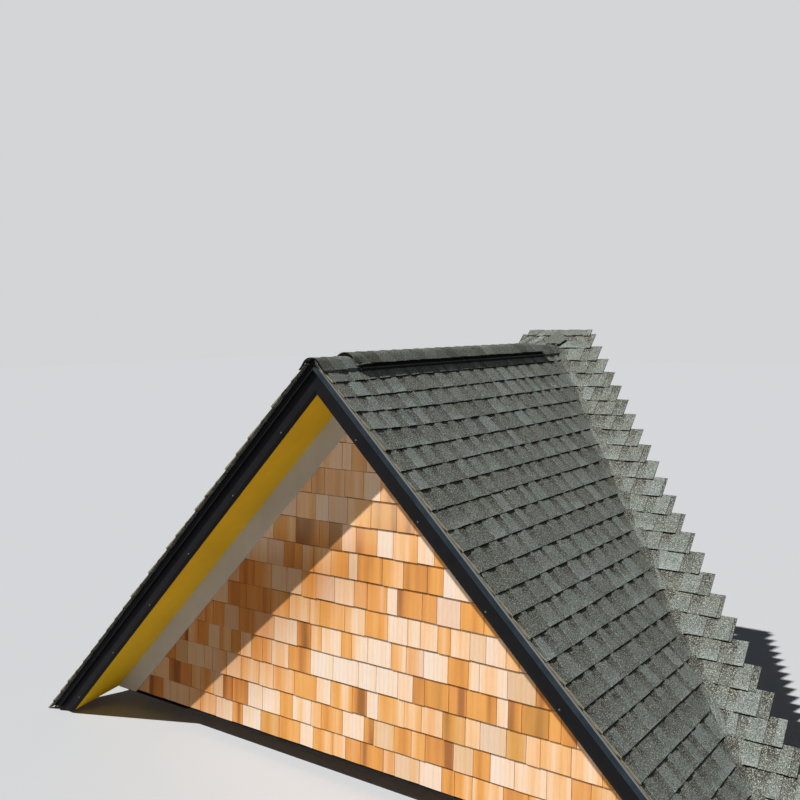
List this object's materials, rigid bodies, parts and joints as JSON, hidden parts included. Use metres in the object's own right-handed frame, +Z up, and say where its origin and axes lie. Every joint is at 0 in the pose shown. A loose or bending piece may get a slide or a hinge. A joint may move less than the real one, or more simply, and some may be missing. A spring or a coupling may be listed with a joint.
{
  "type": "blind gable dormer",
  "caption": "Gable dormer without a window: framed front wall faced with cedar shingles under two steep shingled slopes with a vented ridge, open underneath to sit on a pitched roof.",
  "frame": {"origin": "middle of the sole plate's underside, where the front wall stands on the low roof's deck", "axes": "+X along the eaves to the right seen from in front, +Y into the roof along the ridge, +Z up"},
  "size_m": [5.9598, 3.3198, 2.9517],
  "materials": {
    "framing": "sawn softwood framing timber, dry and unpainted",
    "strand_board": "oriented strand board, unpainted",
    "building_paper": "pale woven building paper",
    "black_metal": "black painted sheet metal, half gloss",
    "cedar": "natural red cedar shingles, random widths, unfinished",
    "frieze_paint": "primed board painted off-white",
    "soffit_paint": "smooth board painted deep yellow",
    "roof_shingle": "laminated roof shingles with grey and brown mineral granules",
    "vent_plastic": "black moulded plastic"
  },
  "bodies": {
    "root": {"sole_plate": "framing", "gable_studs": "framing", "wall_sheathing": "strand_board", "building_paper": "building_paper", "base_flashing": "black_metal", "cedar_siding": "cedar", "ridge_board": "framing", "end_rafter_left": "framing", "end_rafter_right": "framing", "jack_rafters_left": "framing", "jack_rafters_right": "framing", "valley_sleeper_left": "framing", "valley_sleeper_right": "framing", "lookouts_left": "framing", "lookouts_right": "framing", "barge_rafter_left": "framing", "barge_rafter_right": "framing", "frieze_left": "frieze_paint", "frieze_right": "frieze_paint", "soffit_left": "soffit_paint", "soffit_right": "soffit_paint", "fascia_left": "black_metal", "fascia_right": "black_metal", "roof_deck_left": "strand_board", "roof_deck_right": "strand_board", "drip_edge_left": "black_metal", "drip_edge_right": "black_metal", "shingles_left": "roof_shingle", "shingles_right": "roof_shingle", "valley_weave_left": "roof_shingle", "valley_weave_right": "roof_shingle", "ridge_vent_front": "vent_plastic", "ridge_vent_rear": "vent_plastic", "ridge_caps_front": "roof_shingle", "ridge_caps_on_vent": "roof_shingle", "ridge_caps_rear": "roof_shingle"}
  },
  "joints": []
}
